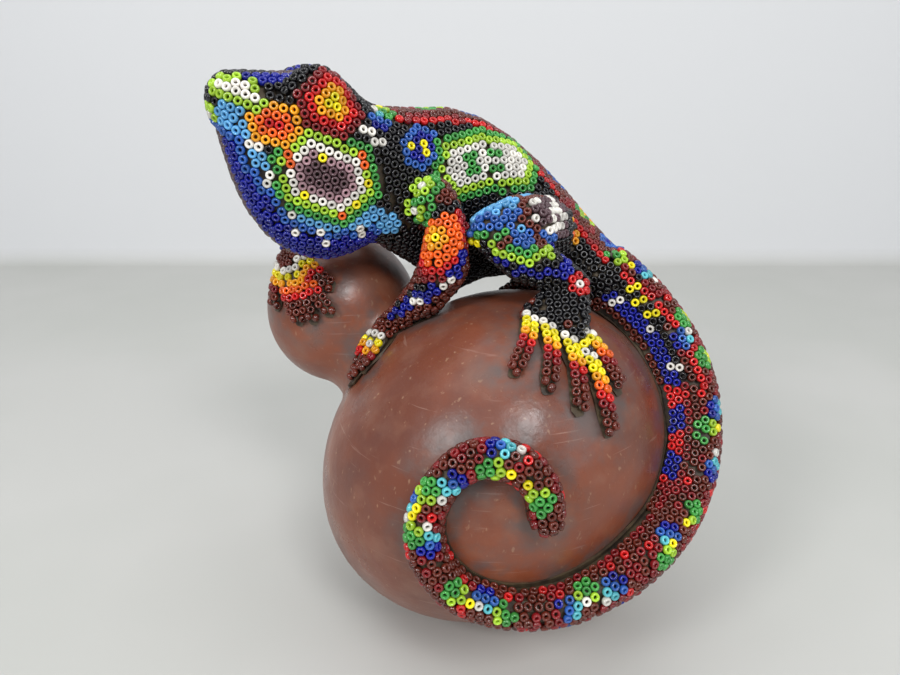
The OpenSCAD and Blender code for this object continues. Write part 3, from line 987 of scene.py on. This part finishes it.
def paint_limbs():
    paint_arm("left_arm", left_arm, False)
    paint_arm("right_arm", right_arm, True)
    paint_leg("left_leg", -8.1, 98, -1)
    paint_leg("right_leg", 28, 95, 1)
    for limb in ("left_leg", "right_leg"):
        paint_hand_or_foot(limb, TOE_SHADES)
    for limb in ("left_arm", "right_arm"):
        paint_hand_or_foot(limb, HAND_SHADES, "white")
    # A red flower on the outside of the ankle.
    for line in (left_leg, right_leg):
        paint_rings(spots(line, [(line.length - 1, 90)]), 1.0, ["white", "red"])


def on_trunk(i):
    """Not on a limb, and not under the mouth."""
    under_mouth = along_trunk[i] <= MOUTH and folded[i] <= MOUTH
    return regions[i] in ("head", "torso") and not under_mouth


paint_head()
paint_torso()
paint_tail()
paint_limbs()
for path, reach, shades in motif_rows:
    paint_rings(path, reach, shades, on_trunk)
paint_accents()


# ---- Materials with a pattern in them

def linear(red, green, blue):
    """A shader's colour from the usual 0 to 255 parts."""
    def one(c):
        c /= 255
        return c / 12.92 if c <= 0.04045 else ((c + 0.055) / 1.055) ** 2.4
    return (one(red), one(green), one(blue), 1)


def material_nodes(name):
    """A new material, its node tree and its shader."""
    material = bpy.data.materials.new(name)
    material.use_nodes = True
    tree = material.node_tree
    return material, tree, tree.nodes["Principled BSDF"]


def add_node(tree, kind, inputs, **settings):
    """A new node, with its inputs set to values or linked to the outputs of other nodes."""
    made = tree.nodes.new("ShaderNode" + kind)
    for name, value in settings.items():
        setattr(made, name, value)
    for name, value in inputs.items():
        if isinstance(value, bpy.types.NodeSocket):
            tree.links.new(value, made.inputs[name])
        else:
            made.inputs[name].default_value = value
    return made


def noise(tree, scale, detail=4, stretch=(1, 1, 1)):
    """A noise pattern in the object's own coordinates, in metres."""
    place = add_node(tree, "TexCoord", {}).outputs["Object"]
    mapping = add_node(tree, "Mapping", {"Scale": stretch, "Vector": place})
    settings = {"Scale": scale, "Detail": detail, "Roughness": 0.55}
    settings["Vector"] = mapping.outputs["Vector"]
    return add_node(tree, "TexNoise", settings).outputs["Fac"]


def ranged(tree, value, low, high, to_low=0.0, to_high=1.0):
    """A value from low to high, moved to the range from to_low to to_high and held there."""
    ends = {"From Min": low, "From Max": high, "To Min": to_low, "To Max": to_high}
    return add_node(tree, "MapRange", {"Value": value, **ends}).outputs["Result"]


def mixed(tree, factor, first, second):
    """A colour between two; each is a colour of 0 to 255 parts or the output of a node."""
    made = add_node(tree, "Mix", {}, data_type="RGBA")
    tree.links.new(factor, made.inputs["Factor"])
    for socket, value in ((made.inputs["A"], first), (made.inputs["B"], second)):
        if isinstance(value, tuple):
            socket.default_value = linear(*value)
        else:
            tree.links.new(value, socket)
    return made.outputs["Result"]


def bumped(tree, shader, height, strength, distance):
    """A fine relief on a shader; the distance is in metres."""
    inputs = {"Strength": strength, "Distance": distance, "Height": height}
    tree.links.new(add_node(tree, "Bump", inputs).outputs["Normal"], shader.inputs["Normal"])


# Colours over the gourd's skin, laid one over the other: scale, detail and stretch of the noise,
# where in it a colour starts and is full, how much it covers, and the colour in 0 to 255 parts.
GOURD_LAYERS = [
    (60, 5, (1, 1, 1), 0.5, 0.75, 0.55, (92, 62, 58)),
    (110, 6, (1, 1, 1), 0.5, 0.72, 0.4, (150, 108, 88)),
    (900, 2, (1, 1, 0.5), 0.66, 0.74, 0.45, (176, 140, 112)),
    (55, 3, (1, 1, 26), 0.66, 0.72, 0.5, (168, 132, 118)),
]


def gourd_material():
    """Polished reddish brown skin with greyer and paler patches, flecks and fine scratches."""
    material, tree, shader = material_nodes("gourd_skin")
    colour = mixed(tree, ranged(tree, noise(tree, 22, 3), 0.38, 0.66), (112, 62, 46), (146, 78, 50))
    for scale, detail, stretch, low, high, most, shade in GOURD_LAYERS:
        cover = ranged(tree, noise(tree, scale, detail, stretch), low, high, 0, most)
        colour = mixed(tree, cover, colour, shade)
    # Smears of wax, where the mesh says that beads are near.
    near_beads = add_node(tree, "Attribute", {}, attribute_name="wax_smear").outputs["Fac"]
    blots = ranged(tree, noise(tree, 150, 6), 0.42, 0.62, 0, 0.8)
    smear = add_node(tree, "Math", {0: near_beads, 1: blots}, operation="MULTIPLY").outputs[0]
    colour = mixed(tree, smear, colour, (92, 84, 82))
    tree.links.new(colour, shader.inputs["Base Color"])
    rough = ranged(tree, noise(tree, 70, 5), 0.35, 0.7, 0.26, 0.46)
    tree.links.new(rough, shader.inputs["Roughness"])
    bumped(tree, shader, noise(tree, 260, 4), 0.25, 0.0006)
    return material


def wax_material():
    """Dark, soft-looking beeswax."""
    material, tree, shader = material_nodes("dark_wax")
    colour = mixed(tree, ranged(tree, noise(tree, 300, 4), 0.35, 0.7), (52, 42, 34), (88, 74, 52))
    tree.links.new(colour, shader.inputs["Base Color"])
    shader.inputs["Roughness"].default_value = 0.55
    bumped(tree, shader, noise(tree, 1500, 3), 0.4, 0.0002)
    return material


def wood_material():
    """Plain carved wood with its grain along the body."""
    material, tree, shader = material_nodes("carved_wood")
    grain = ranged(tree, noise(tree, 160, 5, (0.15, 1, 1)), 0.35, 0.68)
    tree.links.new(mixed(tree, grain, (150, 108, 68), (186, 146, 98)), shader.inputs["Base Color"])
    shader.inputs["Roughness"].default_value = 0.7
    bumped(tree, shader, noise(tree, 420, 4, (0.15, 1, 1)), 0.3, 0.0002)
    return material


def nearness(points, tree, full, none):
    """1 where a point is closer to a surface than full, falling to 0 at none, in millimetres."""
    away = np.array([tree.find_nearest(Vector(p))[3] for p in points])
    return np.clip((none - away) / (none - full), 0, 1)


# ---- Bead meshes

# Outline of one bead's wall: distance from the middle of the wall and height, as parts of half the
# wall's thickness and half the bead's height.
BEAD_OUTLINE = [
    (1, 0.25), (0.68, 0.78), (0, 1), (-0.72, 0.72), (-1, 0.1), (-0.9, -0.7), (0.2, -1), (0.95, -0.4),
]
BEAD_SEGMENTS = 12
# Small differences between beads: tilt, size as a part of the usual, and height in millimetres.
TILT = 0.06
SIZES = (0.97, 1.03)
HEIGHTS = (-0.08, 0.04)
# Colours of the glass, in 0 to 255 parts.
GLASS = {
    "black": (17, 16, 20),
    "cobalt": (14, 24, 138),
    "blue": (44, 92, 172),
    "sky": (95, 165, 215),
    "turquoise": (90, 185, 195),
    "green": (64, 150, 66),
    "lime": (165, 205, 50),
    "yellow": (238, 222, 20),
    "golden": (242, 165, 25),
    "orange": (238, 100, 25),
    "red": (196, 26, 26),
    "darkred": (128, 24, 28),
    "brown": (98, 38, 26),
    "mauve": (88, 64, 70),
    "rose": (165, 130, 138),
    "white": (228, 224, 216),
}
# Each bead's glass is a little darker or lighter than its name says, or as it says.
VARIANT_LIGHT = [0.82, 1.0, 1.18]


def bead_template():
    """Points and faces of one seed bead on the origin, its hole along Z."""
    wall = (BEAD_RADIUS - HOLE_RADIUS) / 2
    centre = (BEAD_RADIUS + HOLE_RADIUS) / 2
    points, faces = [], []
    count = len(BEAD_OUTLINE)
    for s in range(BEAD_SEGMENTS):
        a = 2 * math.pi * s / BEAD_SEGMENTS
        for out, up in BEAD_OUTLINE:
            r = centre + wall * out
            points.append((r * math.cos(a), r * math.sin(a), up * BEAD_HEIGHT / 2))
        after = (s + 1) % BEAD_SEGMENTS
        for k in range(count):
            m = (k + 1) % count
            faces.append((s * count + k, s * count + m, after * count + m, after * count + k))
    return np.array(points), np.array(faces)


TEMPLATE_POINTS, TEMPLATE_FACES = bead_template()


def bead_piece(name, beads):
    """One mesh of beads, each with its own small tilt, size, depth and shade."""
    points, faces, slots = [], [], []
    palette = sorted({(colours[b], v) for b in beads for v in range(len(VARIANT_LIGHT))})
    for n, b in enumerate(beads):
        normal = packing.normals[b]
        tilt = Vector((random.gauss(0, 1), random.gauss(0, 1), random.gauss(0, 1))) * TILT
        turn = (normal + tilt).to_track_quat("Z", "Y").to_matrix()
        matrix = np.array(turn) * random.uniform(*SIZES)
        at = np.array(packing.points[b] + normal * random.uniform(*HEIGHTS))
        points.append(TEMPLATE_POINTS @ matrix.T + at)
        faces.append(TEMPLATE_FACES + n * len(TEMPLATE_POINTS))
        shade = (colours[b], random.randrange(len(VARIANT_LIGHT)))
        slots += [palette.index(shade)] * len(TEMPLATE_FACES)
    piece = mesh_object(name, np.vstack(points), np.vstack(faces))
    for shade in palette:
        piece.data.materials.append(bead_material(*shade))
    piece.data.polygons.foreach_set("material_index", slots)
    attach(piece, "root")
    return piece


made_materials = {}


def bead_material(name, variant):
    """Glossy glass of one colour, with a slightly uneven face. Each shade is made once."""
    if (name, variant) in made_materials:
        return made_materials[name, variant]
    material, tree, shader = material_nodes("glass_%s_%d" % (name, variant))
    base = linear(*GLASS[name])
    light = VARIANT_LIGHT[variant]
    shader.inputs["Base Color"].default_value = [min(1, c * light) for c in base[:3]] + [1]
    shader.inputs["Roughness"].default_value = 0.2
    shader.inputs["IOR"].default_value = 1.52
    shader.inputs["Coat Weight"].default_value = 0.25
    shader.inputs["Coat Roughness"].default_value = 0.05
    bumped(tree, shader, noise(tree, 1100, 2), 0.35, 0.0003)
    made_materials[name, variant] = material
    return material


for region in REGIONS:
    beads = members[region]
    count = math.ceil(len(beads) / BEADS_PER_PIECE)
    if region == "tail":
        beads = sorted(beads, key=lambda i: along_tail[i])
    elif region in ("head", "torso"):
        beads = sorted(beads, key=lambda i: along_trunk[i])
    for k in range(count):
        name = region + "_beads" + ("_%d" % (k + 1) if count > 1 else "")
        share = beads[len(beads) * k // count:len(beads) * (k + 1) // count]
        piece = bead_piece(name, share)
        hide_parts(region + "_beadwork")


# ---- Gourd

GOURD_VOXEL = 1.3
GOURD_ROUNDS = 16
# The dried skin isn't quite even: slow waves run over it, each with its direction, its length over
# two pi and its start. Together they are this high, and they fade out over this height to the flat.
WAVES = [((1, 0.4, 0.2), 9, 0.3), ((-0.3, 1, 0.5), 7, 1.9), ((0.2, -0.6, 1), 8, 4.1)]
UNEVEN = 0.22
FADE = 4
# Wax is smeared on the skin as far as the first distance from the beads, and ends at the second.
SMEAR = (2.5, 10.0)


def gourd():
    """The gourd's outer skin."""
    co, quads = outer_skin(["gourd_shell"], GOURD_VOXEL)
    co = smoothed(co, quads, GOURD_ROUNDS)
    normals = normals_of(co, quads)
    waves = sum(np.sin(co @ np.array(way) / length + start) for way, length, start in WAVES)
    above_flat = np.clip(co[:, 2] / FADE, 0, 1)
    co = co + normals * (waves * UNEVEN / len(WAVES) * above_flat)[:, None]
    co[:, 2] = np.maximum(co[:, 2], 0)
    piece = mesh_object("gourd", co, quads)
    smear = piece.data.attributes.new("wax_smear", "FLOAT", "POINT")
    smear.data.foreach_set("value", nearness(co, middle_tree, *SMEAR))
    piece.data.materials.append(gourd_material())
    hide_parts("gourd_shell")
    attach(piece, "root")


gourd()


# ---- CAD nodes that keep their shape

wax = wax_material()
wood = wood_material()
for node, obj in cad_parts.items():
    finish = wood if node.endswith("_core") else wax if node.endswith(("_wax", "_pad")) else None
    if finish is not None:
        obj.data.materials.clear()
        obj.data.materials.append(finish)


# ---- Stage

CAMERA_PLACE = Vector((-5.63, -164.1, 132.0))
# Degrees that the camera looks down.
CAMERA_DOWN = 20.4
# A wide lens, in millimetres, on a frame 36 mm wide.
LENS = 28
# The table just under the gourd, and the wall behind it: places and sizes in millimetres.
TABLE_LEVEL = -0.05
WALL_PLACE = 340
WALL_TOP = 700
WALL_ROUND = 12
HALF_WIDE = 1200
TABLE_FRONT = -900
# Lights: place and target in metres, size and power.
LIGHTS = {
    "left_window": ((-0.4, -0.45, 0.47), (0, 0, 0.05), 0.17, 2.0),
    "right_window": ((0.16, -0.45, 0.52), (0, 0, 0.05), 0.17, 1.6),
    "overhead": ((-0.1, 0.1, 0.9), (0, 0, 0), 1.0, 3.4),
    "fill": ((0.6, -0.3, 0.35), (0, 0, 0.06), 0.5, 0.9),
}
SKY_COLOUR = (0.93, 0.96, 1.0, 1)
SKY_LIGHT = 0.36


def camera():
    data = bpy.data.cameras.new("camera")
    data.lens = LENS
    data.sensor_width = 36
    data.clip_start = 0.005
    obj = new_object("camera", data)
    obj.location = CAMERA_PLACE * MM
    obj.rotation_euler = (math.radians(90 - CAMERA_DOWN), 0, 0)
    bpy.context.scene.camera = obj


def light(name, place, target, size, power):
    """A square lamp that faces its target."""
    data = bpy.data.lights.new(name, "AREA")
    data.shape = "RECTANGLE"
    data.size = size
    data.size_y = size
    data.energy = power
    obj = new_object(name, data)
    obj.location = place
    obj.rotation_euler = (Vector(target) - Vector(place)).to_track_quat("-Z", "Y").to_euler()


def floor():
    """A pale table with a paler wall behind it, joined by a small round."""
    profile = [(TABLE_FRONT, TABLE_LEVEL), (WALL_PLACE, TABLE_LEVEL)]
    for k in range(1, 8):
        a = math.radians(90 * k / 7)
        profile.append((WALL_PLACE + WALL_ROUND * math.sin(a), WALL_ROUND * (1 - math.cos(a))))
    profile.append((WALL_PLACE + WALL_ROUND, WALL_TOP))
    vertices = [(x, y, z) for x in (-HALF_WIDE, HALF_WIDE) for y, z in profile]
    n = len(profile)
    faces = [(k, k + n, k + n + 1, k + 1) for k in range(n - 1)]
    obj = mesh_object("floor", vertices, faces)
    obj.data.materials.append(floor_material())


def floor_material():
    """Nearly even pale grey, paler from the foot of the wall upward."""
    material, tree, shader = material_nodes("table_and_wall")
    place = add_node(tree, "TexCoord", {}).outputs["Object"]
    height = add_node(tree, "SeparateXYZ", {"Vector": place}).outputs["Z"]
    upward = ranged(tree, height, 0.0, WALL_ROUND * MM)
    table = mixed(tree, ranged(tree, noise(tree, 6, 3), 0.4, 0.6), (193, 194, 189), (199, 199, 195))
    tree.links.new(mixed(tree, upward, table, (232, 233, 235)), shader.inputs["Base Color"])
    shader.inputs["Roughness"].default_value = 0.6
    return material


def sky():
    world = bpy.data.worlds.new("world")
    world.use_nodes = True
    background = world.node_tree.nodes["Background"]
    background.inputs["Color"].default_value = SKY_COLOUR
    background.inputs["Strength"].default_value = SKY_LIGHT
    bpy.context.scene.world = world


camera()
floor()
sky()
for name, settings in LIGHTS.items():
    light(name, *settings)
bpy.context.scene.view_settings.view_transform = "Standard"
